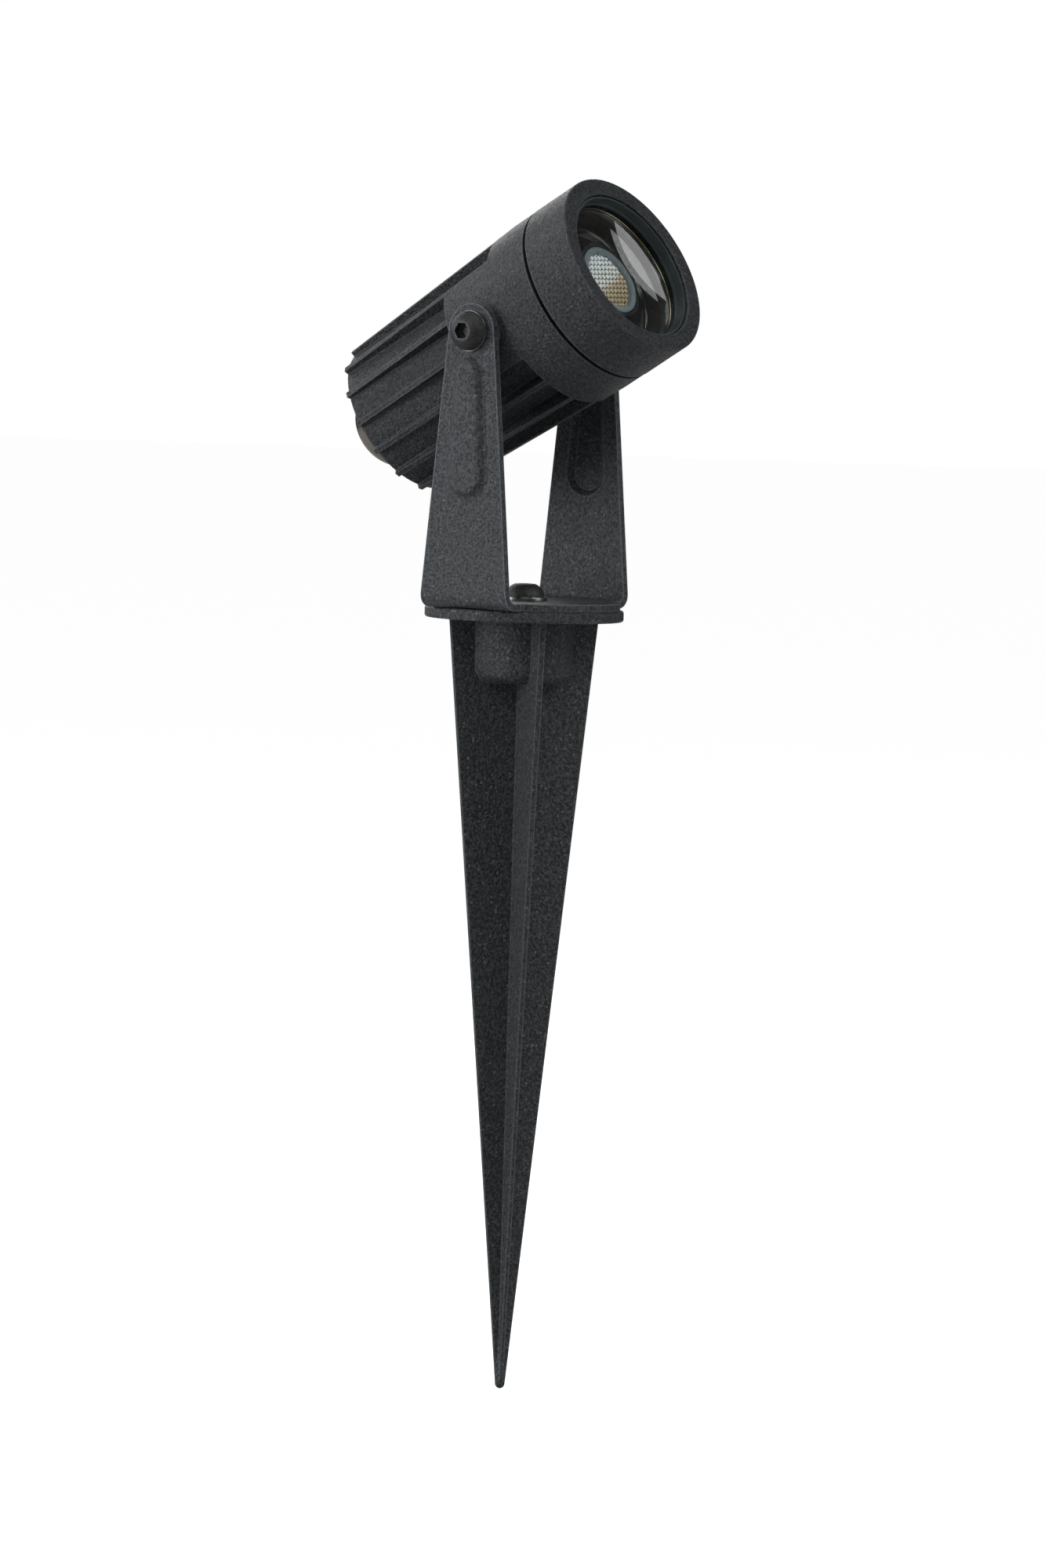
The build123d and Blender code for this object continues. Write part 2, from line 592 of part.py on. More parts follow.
with BuildPart() as driver_capacitors:
    with BuildSketch(BOARD.offset(BOARD_TOP)):
        with Locations((-4.5, -12.5)):
            Circle(4.0)
        with Locations((-4.5, -22.0)):
            Circle(3.15)
    extrude(amount=9.5)
    fillet(driver_capacitors.edges().filter_by(GeomType.CIRCLE).group_by(Axis(PIVOT, (0, sin(TILT), cos(TILT))))[-1], 0.5)
save(driver_capacitors.part, "driver_capacitors")

with BuildPart() as driver_chips:
    with BuildSketch(BOARD.offset(BOARD_TOP)):
        with Locations((4.5, -23.5)):
            Rectangle(5.0, 4.0)
        with Locations((10.5, -22.5)):
            Rectangle(2.6, 4.6)
        with Locations((-11.0, -18.0)):
            Rectangle(2.0, 3.2)
    extrude(amount=1.6)
save(driver_chips.part, "driver_chips")

with BuildPart() as terminal_block:
    with BuildSketch(BOARD.offset(BOARD_TOP)):
        with Locations((0, -30.5)):
            Rectangle(10.4, 7.0)
    extrude(amount=8.0)
    with BuildSketch(across(-34.0)):
        with Locations((-2.6, -0.6), (2.6, -0.6)):
            Rectangle(3.2, 3.2)
    extrude(amount=5.0, mode=Mode.SUBTRACT)
    with BuildSketch(BOARD.offset(BOARD_TOP + 8.0)):
        with Locations((-2.6, -31.0), (2.6, -31.0)):
            Circle(1.5)
    extrude(amount=-2.6, mode=Mode.SUBTRACT)
save(terminal_block.part, "terminal_block")

# two leads from the driver board through the carrier plate to the LED board
with BuildPart() as led_leads:
    for off in (0.85, -0.85):
        with BuildLine(Plane(origin=PIVOT + Vector(0, -sin(TILT), -cos(TILT)) * off,
                             x_dir=(-1, 0, 0), z_dir=(0, sin(TILT), cos(TILT)))) as lead_path:
            FilletPolyline((-13.6, -2.0), (-13.6, 16.1), (-9.9, 16.1), (-9.9, 13.6), radius=1.6)
        with BuildSketch(Plane(origin=PIVOT + U * -2.0 + Vector(13.6, 0, 0)
                               + Vector(0, -sin(TILT), -cos(TILT)) * off,
                               x_dir=(-1, 0, 0), z_dir=U)):
            Circle(0.6)
        sweep()
save(led_leads.part, "led_leads")

# ================================================================ cable gland
with BuildPart() as gland_body:
    with BuildSketch(PROFILE):
        Polygon((3.9, -37.6), (GLAND_SHANK_R, -37.6), (GLAND_SHANK_R, BODY_BACK),
                (9.6, BODY_BACK), (9.6, BODY_BACK - 2.0), (7.2, BODY_BACK - 2.0),
                (7.2, -56.0), (6.4, -56.0), (6.4, -51.5), (3.9, -50.3), align=None)
    revolve(axis=HEAD_AXIS)
    # fingers that close on the seal
    with BuildSketch(across(-56.5)):
        with PolarLocations(7, 6):
            Rectangle(3.4, 0.7)
    extrude(amount=4.5, mode=Mode.SUBTRACT)
save(gland_body.part, "gland_body")

with BuildPart() as gland_oring:
    with BuildSketch(PROFILE):
        Polygon((9.7, BODY_BACK - 0.02), (11.0, BODY_BACK - 0.02), (11.0, BODY_BACK - 0.9),
                (9.7, BODY_BACK - 0.9), align=None)
    revolve(axis=HEAD_AXIS)
save(gland_oring.part, "gland_oring")

with BuildPart() as gland_seal:
    with BuildSketch(PROFILE):
        Polygon((CABLE_R, -51.6), (6.3, -51.6), (6.3, -57.2), (5.6, -57.9),
                (CABLE_R, -57.9), align=None)
    revolve(axis=HEAD_AXIS)
save(gland_seal.part, "gland_seal")

with BuildPart() as gland_nut:
    with BuildSketch(PROFILE):
        with BuildLine():
            Polyline((7.35, BODY_BACK - 2.1), (9.9, BODY_BACK - 2.1), (9.9, BODY_BACK - 1.1),
                     (GLAND_DOME_R, BODY_BACK - 1.1), (GLAND_DOME_R, BODY_BACK - 2.0))
            ThreePointArc((GLAND_DOME_R, BODY_BACK - 2.0), (9.3, -57.2), (4.6, -59.8))
            Polyline((4.6, -59.8), (4.1, -59.8), (4.1, -58.6), (5.8, -58.1), (7.35, -56.4),
                     (7.35, BODY_BACK - 2.1))
        make_face()
    revolve(axis=HEAD_AXIS)
save(gland_nut.part, "gland_nut")

with BuildPart() as gland_locknut:
    with BuildSketch(across(REAR_WALL)):
        RegularPolygon(8.0, 6, major_radius=False)
        Circle(GLAND_SHANK_R + 0.05, mode=Mode.SUBTRACT)
    extrude(amount=3.6)
save(gland_locknut.part, "gland_locknut")
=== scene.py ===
"""Looks for the light projector stake: camera, soft studio light, materials and the optic."""
import json
import math

import bpy
import bmesh
from mathutils import Matrix, Vector


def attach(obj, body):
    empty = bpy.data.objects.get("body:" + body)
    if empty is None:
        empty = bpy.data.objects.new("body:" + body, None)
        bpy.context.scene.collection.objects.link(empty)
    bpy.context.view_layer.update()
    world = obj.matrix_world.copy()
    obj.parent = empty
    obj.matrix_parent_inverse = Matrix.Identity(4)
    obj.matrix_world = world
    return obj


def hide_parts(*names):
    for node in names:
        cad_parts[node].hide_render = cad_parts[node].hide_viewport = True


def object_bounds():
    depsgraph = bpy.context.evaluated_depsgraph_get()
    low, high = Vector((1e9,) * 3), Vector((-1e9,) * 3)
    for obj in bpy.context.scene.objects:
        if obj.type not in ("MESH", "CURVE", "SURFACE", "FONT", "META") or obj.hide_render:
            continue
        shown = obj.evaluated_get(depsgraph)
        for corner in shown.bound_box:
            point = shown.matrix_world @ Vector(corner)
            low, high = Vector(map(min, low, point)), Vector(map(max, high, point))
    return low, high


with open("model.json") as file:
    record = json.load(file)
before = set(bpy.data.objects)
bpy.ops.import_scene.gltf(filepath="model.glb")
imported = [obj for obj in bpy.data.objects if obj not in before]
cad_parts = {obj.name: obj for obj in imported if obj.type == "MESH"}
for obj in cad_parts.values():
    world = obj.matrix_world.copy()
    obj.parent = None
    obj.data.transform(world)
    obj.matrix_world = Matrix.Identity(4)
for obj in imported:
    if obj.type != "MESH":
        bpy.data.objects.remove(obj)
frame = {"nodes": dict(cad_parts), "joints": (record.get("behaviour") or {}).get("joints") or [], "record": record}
cad_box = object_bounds()
NODES = frame["nodes"]
MM = 0.001
scene = bpy.context.scene

# ------------------------------------------------------------------ places read from the frame
tilt_joint = [j for j in frame["joints"] if j["name"] == "tilt"][0]
PIVOT = Vector(tilt_joint["pos_m"])
cable = [m for m in frame["record"]["mounts"] if m["name"] == "cable_entry"][0]
BEAM = -Vector(cable["axis"]).normalized()
SIDE = Vector((-1.0, 0.0, 0.0))
DOWN = BEAM.cross(SIDE).normalized()


def on_head(r, angle, d):
    """Point at radius r, angle from the -X side, station d along the beam, all in mm."""
    a = math.radians(angle)
    return PIVOT + (SIDE * math.cos(a) * r + DOWN * math.sin(a) * r + BEAM * d) * MM


# ------------------------------------------------------------------ camera
AZ, EL, ROLL = math.radians(-54.685), math.radians(3.399), math.radians(1.822)
DIST = 2.776
back = Vector((math.sin(AZ) * math.cos(EL), -math.cos(AZ) * math.cos(EL), math.sin(EL)))
right = Vector((math.cos(AZ), math.sin(AZ), 0.0))
up = back.cross(right)
r2 = right * math.cos(ROLL) + up * math.sin(ROLL)
u2 = -right * math.sin(ROLL) + up * math.cos(ROLL)
target = right * 0.001002 + Vector((0, 0, -0.043789))
cam_data = bpy.data.cameras.new("camera")
cam_data.sensor_fit = "VERTICAL"
cam_data.sensor_height = 36.0
cam_data.lens = 4.809 * 2776.0 * 36.0 / 2000.0
cam_data.clip_start = 0.05
cam_data.clip_end = 60.0
cam = bpy.data.objects.new("camera", cam_data)
scene.collection.objects.link(cam)
pos = target + back * DIST
m = Matrix((
    (r2.x, u2.x, back.x, pos.x),
    (r2.y, u2.y, back.y, pos.y),
    (r2.z, u2.z, back.z, pos.z),
    (0, 0, 0, 1),
))
cam.matrix_world = m
scene.camera = cam
scene.view_settings.view_transform = "Standard"
scene.view_settings.look = "None"


# ------------------------------------------------------------------ node helpers
class Mat:
    """A node material with short helpers."""

    def __init__(self, name):
        self.m = bpy.data.materials.new(name)
        self.m.use_nodes = True
        self.t = self.m.node_tree
        self.b = self.t.nodes["Principled BSDF"]
        self.out = self.t.nodes["Material Output"]
        self.coord = self.t.nodes.new("ShaderNodeTexCoord").outputs["Object"]

    def node(self, kind, **inputs):
        n = self.t.nodes.new("ShaderNode" + kind)
        for k, v in inputs.items():
            key = k.replace("_", " ")
            if key in n.inputs:
                self.put(n.inputs[key], v)
            else:
                setattr(n, k, v)
        return n

    def put(self, socket, v):
        if isinstance(v, bpy.types.NodeSocket):
            self.t.links.new(v, socket)
        else:
            socket.default_value = v

    def set(self, **inputs):
        for k, v in inputs.items():
            self.put(self.b.inputs[k.replace("_", " ")], v)

    def noise(self, scale, detail=2.0, rough=0.5, coord=None, dist=0.0):
        n = self.node("TexNoise", Scale=scale, Detail=detail, Roughness=rough, Distortion=dist)
        self.t.links.new(coord or self.coord, n.inputs["Vector"])
        return n.outputs["Fac"]

    def voronoi(self, scale, feature="F1", coord=None, out="Distance", rand=1.0):
        n = self.t.nodes.new("ShaderNodeTexVoronoi")
        n.feature = feature
        n.inputs["Scale"].default_value = scale
        n.inputs["Randomness"].default_value = rand
        self.t.links.new(coord or self.coord, n.inputs["Vector"])
        return n.outputs[out]

    def ramp(self, fac, stops, interp="LINEAR"):
        n = self.t.nodes.new("ShaderNodeValToRGB")
        n.color_ramp.interpolation = interp
        e = n.color_ramp.elements
        while len(e) > 1:
            e.remove(e[-1])
        e[0].position = stops[0][0]
        e[0].color = self.rgba(stops[0][1])
        for p, c in stops[1:]:
            x = e.new(p)
            x.color = self.rgba(c)
        self.t.links.new(fac, n.inputs["Fac"])
        return n.outputs["Color"]

    @staticmethod
    def rgba(c):
        if isinstance(c, (int, float)):
            return (c, c, c, 1)
        return (*c, 1) if len(c) == 3 else c

    def math(self, op, a, b=None, c=None, clamp=False):
        n = self.t.nodes.new("ShaderNodeMath")
        n.operation = op
        n.use_clamp = clamp
        for i, v in enumerate((a, b, c)):
            if v is not None:
                self.put(n.inputs[i], v)
        return n.outputs[0]

    def mix(self, fac, a, b, blend="MIX"):
        n = self.t.nodes.new("ShaderNodeMix")
        n.data_type = "RGBA"
        n.blend_type = blend
        self.put(n.inputs[0], fac)
        self.put(n.inputs[6], self.rgba(a) if not isinstance(a, bpy.types.NodeSocket) else a)
        self.put(n.inputs[7], self.rgba(b) if not isinstance(b, bpy.types.NodeSocket) else b)
        return n.outputs[2]

    def bump(self, height, strength, distance, normal=None):
        n = self.t.nodes.new("ShaderNodeBump")
        n.inputs["Strength"].default_value = strength
        n.inputs["Distance"].default_value = distance
        self.put(n.inputs["Height"], height)
        if normal is not None:
            self.put(n.inputs["Normal"], normal)
        return n.outputs["Normal"]

    def bevel(self, radius, samples=4):
        n = self.t.nodes.new("ShaderNodeBevel")
        n.samples = samples
        n.inputs["Radius"].default_value = radius
        return n.outputs["Normal"]

    def edge(self, radius, low=0.02, high=0.25, samples=4):
        """1 on sharp edges, 0 elsewhere, from how far the rounded normal leaves the real one."""
        g = self.t.nodes.new("ShaderNodeNewGeometry")
        bev = self.bevel(radius, samples)
        d = self.t.nodes.new("ShaderNodeVectorMath")
        d.operation = "DOT_PRODUCT"
        self.t.links.new(bev, d.inputs[0])
        self.t.links.new(g.outputs["Normal"], d.inputs[1])
        inv = self.math("SUBTRACT", 1.0, d.outputs["Value"])
        r = self.t.nodes.new("ShaderNodeMapRange")
        r.inputs["From Min"].default_value = low
        r.inputs["From Max"].default_value = high
        self.t.links.new(inv, r.inputs["Value"])
        return r.outputs["Result"]


def powder_coat(name, tone=(0.0275, 0.0312, 0.0350), grain=1450.0, bump=1.0, rough=0.38,
                fleck=0.40, seed=0.0, edge_highlight_gain=1.6, contrast=1.08):
    """Textured anthracite powder coat: leathery grain under a millimetre, pale flecks, lighter edges painted as
    highlights.
    """
    k = Mat(name)
    mapping = k.node("Mapping")
    mapping.inputs["Location"].default_value = (seed, seed * 0.7, -seed)
    k.t.links.new(k.coord, mapping.inputs["Vector"])
    co = mapping.outputs["Vector"]
    peel = k.noise(grain, 2.0, 0.60, co, 0.5)
    fine = k.noise(grain * 2.3, 2.0, 0.55, co)
    broad = k.noise(34.0, 3.0, 0.55, co)
    both = k.math("ADD", k.math("MULTIPLY", peel, 0.72), k.math("MULTIPLY", fine, 0.28))
    dark = tuple(c * (1.0 - 0.72 * contrast) for c in tone)
    light = tuple(c * (1.0 + 1.10 * contrast) for c in tone)
    base = k.ramp(both, [(0.40, dark), (0.50, tone), (0.60, light)])
    base = k.mix(k.ramp(broad, [(0.35, 0.0), (0.70, 0.22)]), base, tuple(c * 1.25 for c in tone))
    cells = k.voronoi(grain * 0.80, "F1", co)
    pick = k.voronoi(grain * 0.80, "F1", co, "Color")
    sep = k.node("SeparateColor")
    k.t.links.new(pick, sep.inputs["Color"])
    spot = k.math("MULTIPLY", k.math("LESS_THAN", cells, 0.36),
                  k.math("GREATER_THAN", sep.outputs[0], 0.90))
    base = k.mix(k.math("MULTIPLY", spot, fleck), base, tuple(min(1, c * 6.0) for c in tone))
    # painted highlight: the colour is lightened along sharp edges, where they would catch the light
    painted_edge_highlight = k.math("MULTIPLY", k.edge(0.00070, 0.02, 0.17), edge_highlight_gain)
    painted_edge_highlight = k.math("MULTIPLY", painted_edge_highlight, k.math("ADD", 0.30, fine), clamp=True)
    base = k.mix(painted_edge_highlight, base, tuple(min(1, c * 5.0) for c in tone))
    k.set(Base_Color=base)
    k.set(Roughness=k.ramp(both, [(0.38, rough + 0.16), (0.62, rough - 0.12)]))
    k.set(Normal=k.bump(both, bump, 0.00075, k.bevel(0.00028)))
    k.b.inputs["Specular IOR Level"].default_value = 0.50
    return k.m


def metal(name, color, rough, scratch=1.0, tint=None, stretch=(1, 1, 1), bevel=0.0002):
    k = Mat(name)
    mp = k.node("Mapping")
    mp.inputs["Scale"].default_value = stretch
    k.t.links.new(k.coord, mp.inputs["Vector"])
    co = mp.outputs["Vector"]
    n = k.noise(900.0, 3.0, 0.6, co)
    broad = k.noise(70.0, 3.0, 0.6, co)
    tint = tint or tuple(c * 0.82 for c in color)
    k.set(Base_Color=k.mix(k.ramp(broad, [(0.35, 0.0), (0.7, 1.0)]), color, tint))
    k.set(Roughness=k.ramp(n, [(0.3, rough - 0.06), (0.7, rough + 0.10)]))
    k.set(Normal=k.bump(n, 0.12 * scratch, 0.0001, k.bevel(bevel)))
    k.b.inputs["Metallic"].default_value = 1.0
    return k.m


def plastic(name, color, rough=0.5, grain=1800.0, bump=0.15, spec=0.4, spread=0.15):
    k = Mat(name)
    n = k.noise(grain, 2.0, 0.5)
    broad = k.noise(60.0, 2.0, 0.5)
    k.set(Base_Color=k.mix(k.ramp(broad, [(0.35, 0.0), (0.7, 1.0)]),
                           tuple(c * (1 - spread) for c in color),
                           tuple(min(1, c * (1 + spread)) for c in color)))
    k.set(Roughness=k.ramp(n, [(0.3, rough - 0.05), (0.7, rough + 0.08)]))
    k.set(Normal=k.bump(n, bump, 0.0001, k.bevel(0.00015)))
    k.b.inputs["Specular IOR Level"].default_value = spec
    return k.m


def clear(name, color, rough=0.02, ior=1.5, wave=0.0, body=1.0):
    """Glass or clear plastic that lets the lamps through to what it covers."""
    k = Mat(name)
    n = k.noise(90.0, 2.0, 0.5)
    k.set(Base_Color=k.mix(k.ramp(n, [(0.4, 0.0), (0.65, 1.0)]), color,
                           tuple(c * 0.985 for c in color)))
    k.b.inputs["Transmission Weight"].default_value = body
    k.b.inputs["Roughness"].default_value = rough
    k.b.inputs["IOR"].default_value = ior
    if wave:
        k.set(Normal=k.bump(k.noise(160.0, 1.0, 0.5), wave, 0.0001))
    path = k.t.nodes.new("ShaderNodeLightPath")
    through = k.t.nodes.new("ShaderNodeBsdfTransparent")
    through.inputs["Color"].default_value = (*color, 1)
    pick = k.t.nodes.new("ShaderNodeMixShader")
    k.t.links.new(path.outputs["Is Shadow Ray"], pick.inputs[0])
    k.t.links.new(k.b.outputs[0], pick.inputs[1])
    k.t.links.new(through.outputs[0], pick.inputs[2])
    k.t.links.new(pick.outputs[0], k.out.inputs["Surface"])
    return k.m


def head_radius(k):
    """Distance from the beam axis, in metres, from object coordinates."""
    off = k.t.nodes.new("ShaderNodeVectorMath")
    off.operation = "SUBTRACT"
    k.t.links.new(k.coord, off.inputs[0])
    off.inputs[1].default_value = PIVOT
    cr = k.t.nodes.new("ShaderNodeVectorMath")
    cr.operation = "CROSS_PRODUCT"
    k.t.links.new(off.outputs[0], cr.inputs[0])
    cr.inputs[1].default_value = BEAM
    ln = k.t.nodes.new("ShaderNodeVectorMath")
    ln.operation = "LENGTH"
    k.t.links.new(cr.outputs[0], ln.inputs[0])
    return ln.outputs["Value"]


def along(k, axis):
    """Signed distance from the pivot along an axis, in metres, from object coordinates."""
    off = k.t.nodes.new("ShaderNodeVectorMath")
    off.operation = "SUBTRACT"
    k.t.links.new(k.coord, off.inputs[0])
    off.inputs[1].default_value = PIVOT
    dt = k.t.nodes.new("ShaderNodeVectorMath")
    dt.operation = "DOT_PRODUCT"
    k.t.links.new(off.outputs[0], dt.inputs[0])
    dt.inputs[1].default_value = axis
    return dt.outputs["Value"]


def reflector(name):
    """The chamber round the lens: a gloss black floor and a gloss dark wall."""
    k = Mat(name)
    r = head_radius(k)
    n = k.noise(700.0, 2.0, 0.5)
    broad = k.noise(55.0, 2.0, 0.5)
    wall = k.node("MapRange")
    wall.inputs["From Min"].default_value = 0.0176
    wall.inputs["From Max"].default_value = 0.0182
    k.t.links.new(r, wall.inputs["Value"])
    w = wall.outputs["Result"]
    metal_c = k.mix(k.ramp(broad, [(0.35, 0.0), (0.7, 1.0)]), (0.030, 0.029, 0.028), (0.036, 0.033, 0.029))
    black = k.mix(k.ramp(broad, [(0.35, 0.0), (0.7, 1.0)]), (0.010, 0.010, 0.011), (0.016, 0.014, 0.012))
    k.set(Base_Color=k.mix(w, black, metal_c))
    k.set(Roughness=k.ramp(n, [(0.3, 0.06), (0.7, 0.11)]))
    k.b.inputs["Specular IOR Level"].default_value = 0.9
    return k.m


def cells_material(name):
    """The silvered lenslets: silver on one side, a painted amber reflection of the phosphor on the other, and
    painted shade in the hollows between lenslets.
    """
    k = Mat(name)
    # painted reflection: the colour turns from silver to the phosphor's amber along a fixed direction across the
    # disc
    g = along(k, (SIDE * -0.405 + DOWN * 0.92).normalized())
    n = k.noise(500.0, 2.0, 0.5)
    t = k.math("ADD", g, k.math("MULTIPLY", k.math("SUBTRACT", n, 0.5), 0.004))
    mr = k.node("MapRange")
    mr.inputs["From Min"].default_value = -0.006
    mr.inputs["From Max"].default_value = 0.006
    k.t.links.new(t, mr.inputs["Value"])
    silver_and_phosphor_reflection = k.ramp(mr.outputs["Result"], [(0.0, (0.90, 0.91, 0.93)), (0.48, (0.88, 0.86, 0.82)),
                                        (0.66, (0.62, 0.49, 0.33)), (1.0, (0.44, 0.32, 0.18))])
    # painted shade: the hollows between the lenslets' domes are darkened to near black
    rise = k.node("MapRange")
    rise.inputs["From Min"].default_value = 0.02525
    rise.inputs["From Max"].default_value = 0.02572
    k.t.links.new(along(k, BEAM), rise.inputs["Value"])
    painted_crease_shade = k.ramp(rise.outputs["Result"], [(0.0, 0.0), (0.32, 0.10), (0.58, 1.0)])
    k.set(Base_Color=k.mix(painted_crease_shade, (0.020, 0.018, 0.016), silver_and_phosphor_reflection))
    k.set(Roughness=k.ramp(n, [(0.3, 0.16), (0.7, 0.30)]))
    k.set(Normal=k.bump(n, 0.15, 0.0001))
    k.b.inputs["Metallic"].default_value = 0.25
    return k.m


# ------------------------------------------------------------------ materials
MATS = {
    "stake_coat": powder_coat("stake_coat", tone=(0.0330, 0.0375, 0.0415), grain=1300.0,
                              rough=0.42, fleck=0.55, seed=3.0),
    "housing_coat": powder_coat("housing_coat", seed=1.0),
    "bezel_coat": powder_coat("bezel_coat", seed=5.0),
    # painted light: the yoke wears a lighter copy of the head's anthracite coat, standing in for the light it
    # catches
    "yoke_coat": powder_coat("yoke_coat", tone=(0.0470, 0.0525, 0.0585), grain=1350.0, seed=7.0,
                              contrast=0.95),
    "screw_black": powder_coat("screw_black", tone=(0.017, 0.018, 0.019), grain=2000.0, bump=0.35,
                               rough=0.38, fleck=0.3, seed=9.0),
    "washer_steel": metal("washer_steel", (0.38, 0.38, 0.37), 0.30),
    "gland_nickel": metal("gland_nickel", (0.36, 0.325, 0.285), 0.30, tint=(0.27, 0.245, 0.215)),
    "insert_brass": metal("insert_brass", (0.75, 0.58, 0.28), 0.32),
    "zinc_steel": metal("zinc_steel", (0.62, 0.64, 0.66), 0.35),
    "seal_black": plastic("seal_black", (0.012, 0.012, 0.013), 0.62),
    "gasket_silicone": plastic("gasket_silicone", (0.050, 0.066, 0.070), 0.34, 900.0, 0.05, 0.6),
    "clear_glass": clear("clear_glass", (0.93, 0.97, 0.96), 0.0, 1.47),
    "clear_optic": clear("clear_optic", (0.58, 0.65, 0.72), 0.05, 1.49, body=0.74),
    "plate_aluminium": metal("plate_aluminium", (0.75, 0.76, 0.77), 0.34),
    "pad_grey": plastic("pad_grey", (0.36, 0.38, 0.42), 0.7),
    "board_white": plastic("board_white", (0.78, 0.78, 0.74), 0.35),
    "board_green": plastic("board_green", (0.03, 0.16, 0.07), 0.35),
    "led_phosphor": plastic("led_phosphor", (0.85, 0.62, 0.10), 0.4),
    "plastic_black": plastic("plastic_black", (0.010, 0.010, 0.011), 0.42),
    "cup_grey": plastic("cup_grey", (0.55, 0.55, 0.52), 0.5),
    "coil_copper": metal("coil_copper", (0.72, 0.34, 0.14), 0.35),
    "capacitor_can": plastic("capacitor_can", (0.03, 0.035, 0.06), 0.3),
    "terminal_green": plastic("terminal_green", (0.05, 0.25, 0.09), 0.45),
    "lead_red": plastic("lead_red", (0.42, 0.03, 0.025), 0.45),
}
slot_of = {s["node"]: s["material_slot"] for s in frame["record"]["subparts"]}
for name, obj in NODES.items():
    mat = MATS[slot_of[name]]
    if len(obj.material_slots) == 0:
        obj.data.materials.append(mat)
    for s in obj.material_slots:
        s.material = mat

# ------------------------------------------------------------------ optic with a honeycomb front
def bm_object(name, bm, mat, body="head", smooth=True):
    me = bpy.data.meshes.new(name)
    bm.to_mesh(me)
    bm.free()
    o = bpy.data.objects.new(name, me)
    scene.collection.objects.link(o)
    me.materials.append(mat)
    for p in me.polygons:
        p.use_smooth = smooth
    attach(o, body)
    return o


N_ANG = 240


def turned(profile, closed=True):
    """Rings of (radius, station) points turned about the beam axis into a closed skin."""
    bm = bmesh.new()
    rings = []
    for r, d in profile:
        if r < 1e-6:
            rings.append([bm.verts.new(on_head(0, 0, d))])
        else:
            rings.append([bm.verts.new(on_head(r, 360.0 * a / N_ANG, d)) for a in range(N_ANG)])
    pairs = list(zip(rings, rings[1:]))
    if closed:
        pairs.append((rings[-1], rings[0]))
    for p, q in pairs:
        for a in range(N_ANG):
            b = (a + 1) % N_ANG
            if len(p) == 1 and len(q) == 1:
                continue
            if len(p) == 1:
                bm.faces.new((p[0], q[a], q[b]))
            elif len(q) == 1:
                bm.faces.new((p[a], q[0], p[b]))
            else:
                bm.faces.new((p[a], q[a], q[b], p[b]))
    bmesh.ops.recalc_face_normals(bm, faces=bm.faces)
    return bm


def arc(cr, cd, rad, a0, a1, n=6):
    """Points of an arc in the (radius, station) plane, degrees from +radius towards +station."""
    return [(cr + rad * math.cos(math.radians(a0 + (a1 - a0) * i / n)),
             cd + rad * math.sin(math.radians(a0 + (a1 - a0) * i / n))) for i in range(n + 1)]


PITCH, CELL_R = 1.62, 7.95


def cell_height(x, y):
    """Height of the nearest lenslet's dome, hexagonal packing."""
    row = PITCH * math.sqrt(3) / 2
    best = 1e9
    j0 = round(y / row)
    for j in (j0 - 1, j0, j0 + 1):
        off = PITCH / 2 if j % 2 else 0.0
        i0 = round((x - off) / PITCH)
        for i in (i0 - 1, i0, i0 + 1):
            best = min(best, (x - i * PITCH - off) ** 2 + (y - j * row) ** 2)
    return 0.50 * (1.0 - best / (PITCH / 2) ** 2)


def cells_mesh():
    """A thin disc whose front is close-packed lenslets, seated in the lens's pocket."""
    foot, base = 24.55, 25.35
    bm = bmesh.new()
    n_ang, n_rad = 300, 96
    centre = bm.verts.new(on_head(0, 0, base + cell_height(0, 0)))
    rings = []
    for i in range(1, n_rad + 1):
        r = CELL_R * i / n_rad
        ring = []
        for a in range(n_ang):
            t = 2 * math.pi * a / n_ang
            h = cell_height(r * math.cos(t), r * math.sin(t))
            ring.append(bm.verts.new(on_head(r, math.degrees(t), base + h)))
        rings.append(ring)
    rings.append([bm.verts.new(on_head(CELL_R, 360.0 * a / n_ang, foot)) for a in range(n_ang)])
    last = bm.verts.new(on_head(0, 0, foot))
    for a in range(n_ang):
        b = (a + 1) % n_ang
        bm.faces.new((centre, rings[0][a], rings[0][b]))
        bm.faces.new((last, rings[-1][b], rings[-1][a]))
    for p, q in zip(rings, rings[1:]):
        for a in range(n_ang):
            b = (a + 1) % n_ang
            bm.faces.new((p[a], q[a], q[b], p[b]))
    bmesh.ops.recalc_face_normals(bm, faces=bm.faces)
    return bm


LENS = ([(0.0, 24.5), (8.0, 24.5), (8.0, 26.35)] + arc(8.25, 26.35, 0.25, 180, 90, 3)
        + arc(9.45, 26.35, 0.35, 70, -10, 5) + [(9.75, 25.0), (9.5, 23.9), (9.05, 22.9), (8.3, 20.8),
        (7.2, 18.3), (5.8, 16.2), (4.6, 15.1), (4.0, 14.6), (3.2, 14.6), (3.05, 14.8),
        (2.75, 18.7), (2.2, 18.5), (1.4, 18.2), (0.7, 18.05), (0.0, 18.0)])
lens = bm_object("optic", turned(LENS, closed=False), MATS["clear_optic"])
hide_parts("tir_lens")

cells = bm_object("optic_cells", cells_mesh(), cells_material("optic_cells"))

BOWL = ([(10.3, 22.35), (16.6, 22.35)] + arc(16.9, 23.55, 1.2, -90, 0, 8)
        + [(18.45, 25.0), (19.0, 27.4), (19.45, 29.2)] + [(20.1, 29.2), (20.1, 22.1), (10.3, 22.1)])
bowl = bm_object("chamber", turned(BOWL), reflector("chamber"))
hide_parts("inner_shade")

RIM = arc(19.86, 29.44, 0.20, 0, 330, 11)
rim = bm_object("glass_rim", turned(RIM), metal("glass_rim", (0.80, 0.66, 0.46), 0.16, bevel=0.00003))

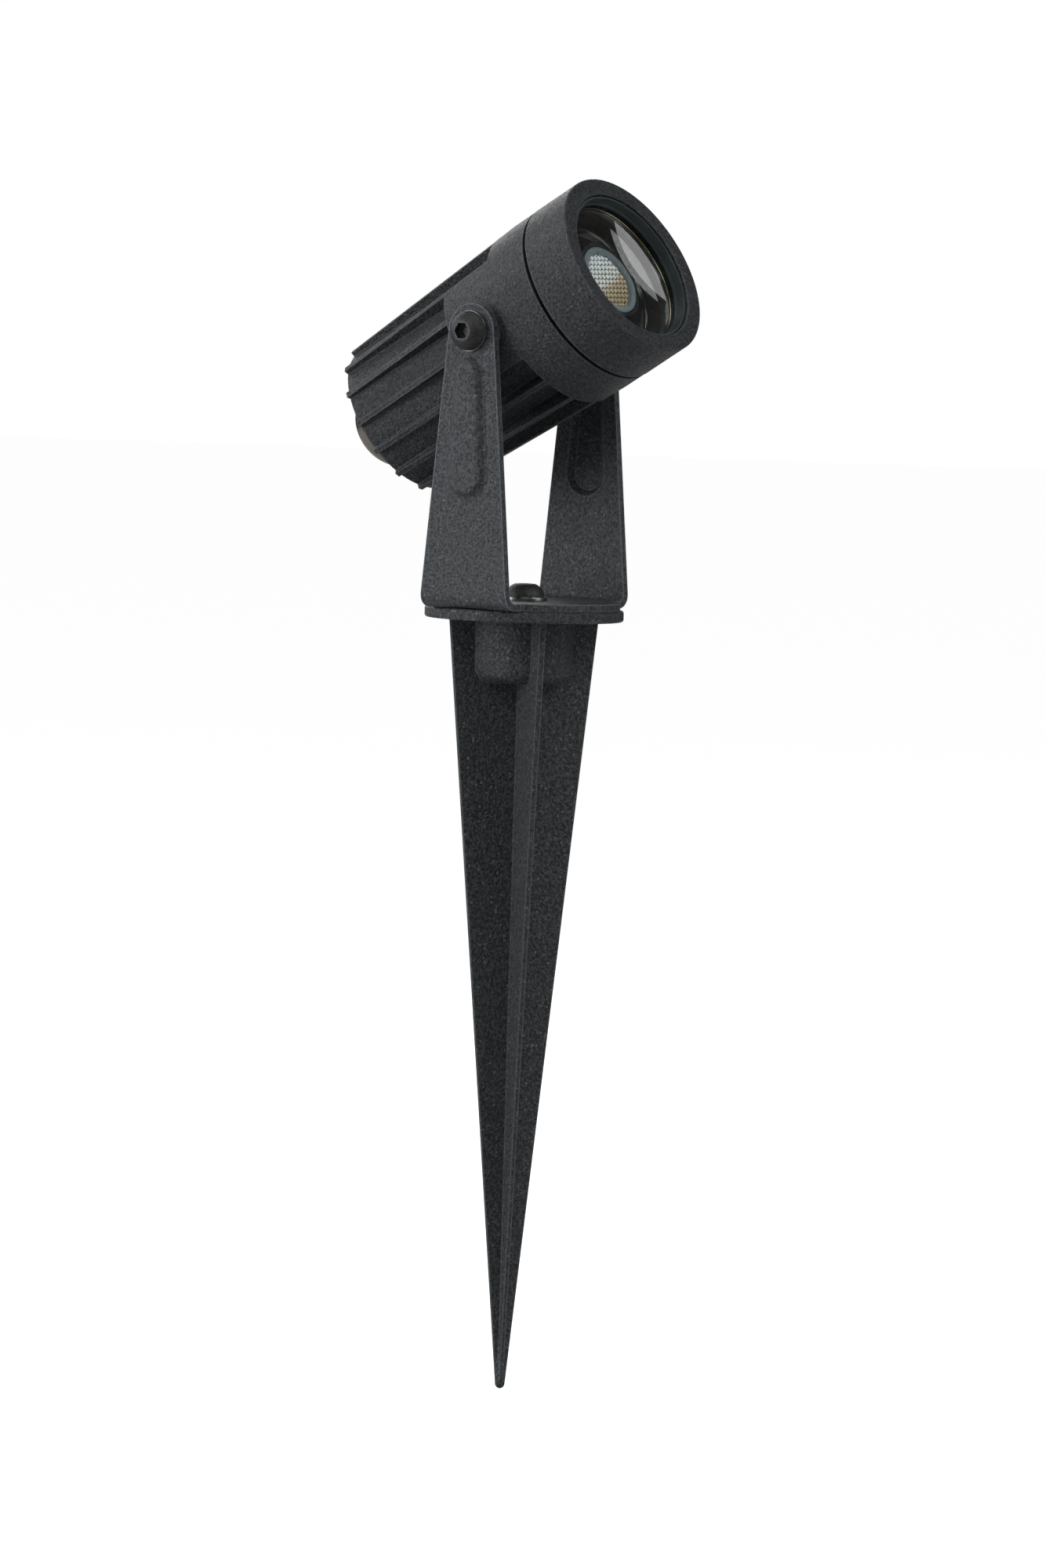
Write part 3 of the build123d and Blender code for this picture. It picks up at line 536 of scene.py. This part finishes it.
# ------------------------------------------------------------------ stage and light
floor_z = cad_box[0][2] - 0.0002
bpy.ops.mesh.primitive_circle_add(vertices=96, radius=9.0, fill_type="NGON",
                                  location=(0, 0, floor_z))
floor = bpy.context.object
floor.name = "floor"
fm = Mat("floor_paper")
fm.set(Base_Color=fm.mix(fm.ramp(fm.noise(30.0, 3.0), [(0.4, 0.0), (0.6, 1.0)]),
                         (0.50, 0.50, 0.50), (0.52, 0.52, 0.52)))
fm.b.inputs["Roughness"].default_value = 0.9
fm.b.inputs["Specular IOR Level"].default_value = 0.1
fm.b.inputs["Emission Color"].default_value = (1, 1, 1, 1)
lift = fm.t.nodes.new("ShaderNodeLightPath")
fm.put(fm.b.inputs["Emission Strength"], fm.math("MULTIPLY", lift.outputs["Is Camera Ray"], 0.97))
floor.data.materials.append(fm.m)

world = bpy.data.worlds.new("studio")
scene.world = world
world.use_nodes = True
wt = world.node_tree
bg = wt.nodes["Background"]
bg.inputs["Color"].default_value = (1, 1, 1, 1)
lp = wt.nodes.new("ShaderNodeLightPath")
mx = wt.nodes.new("ShaderNodeMix")
mx.data_type = "FLOAT"
wt.links.new(lp.outputs["Is Camera Ray"], mx.inputs[0])
mx.inputs[2].default_value = 0.22
mx.inputs[3].default_value = 1.0
wt.links.new(mx.outputs[0], bg.inputs["Strength"])


def area(name, loc, aim, size, power, color=(1, 1, 1), size_y=None):
    d = bpy.data.lights.new(name, "AREA")
    d.energy = power
    d.color = color
    d.size = size
    if size_y:
        d.shape = "RECTANGLE"
        d.size_y = size_y
    o = bpy.data.objects.new(name, d)
    scene.collection.objects.link(o)
    o.location = loc
    o.rotation_euler = (Vector(aim) - Vector(loc)).to_track_quat("-Z", "Y").to_euler()
    return o


AIM = Vector((0, 0, 0.02))
AMBIENT = 0.025
LAMPS = [
    ("top", (0.0, 0.0, 1.35), 0.8, 0.8, 3.0),
    ("left_high", (-0.9, 0.5, 0.95), 0.7, 0.7, 3.0),
    ("left_low", (-1.25, 0.35, 0.10), 0.6, 0.9, 10.0),
    ("front_high", (0.0, 1.2, 0.85), 0.7, 0.6, 2.6),
    ("front_left", (-0.6, 1.3, 0.05), 0.5, 0.8, 0.0),
    ("right_high", (0.95, 0.45, 0.90), 0.7, 0.7, 5.0),
    ("right_low", (1.25, 0.35, 0.10), 0.6, 0.9, 2.4),
    ("back_left", (-1.0, -0.9, 0.55), 0.7, 0.8, 3.0),
    ("back", (-0.15, -1.35, 0.45), 0.8, 0.9, 4.0),
]
for lamp_name, (lr, lb, lz), sx, sy, power in LAMPS:
    if power > 0:
        flat_back = Vector((back.x, back.y, 0)).normalized()
        area(lamp_name, right * lr + flat_back * lb + Vector((0, 0, lz)), AIM, sx, power, size_y=sy)
mx.inputs[2].default_value = AMBIENT

# a small round lamp whose mirror image lies across the upper right of the flat front glass
glass_n, glass_p = BEAM, on_head(0, 0, 32.9)
ray = (r2 * (274.1 / 13350.0) + u2 * (748.4 / 13350.0) - back).normalized()
mirror_ray = ray - glass_n * (2.0 * ray.dot(glass_n))
mirror_pos = pos - glass_n * (2.0 * (pos - glass_p).dot(glass_n))
spot = mirror_pos + mirror_ray * (DIST + 1.4)
glint = area("glass_glint", spot, spot - mirror_ray, 0.100, 0.055)
glint.data.shape = "DISK"

# ------------------------------------------------------------------ hand over
bpy.context.view_layer.update()
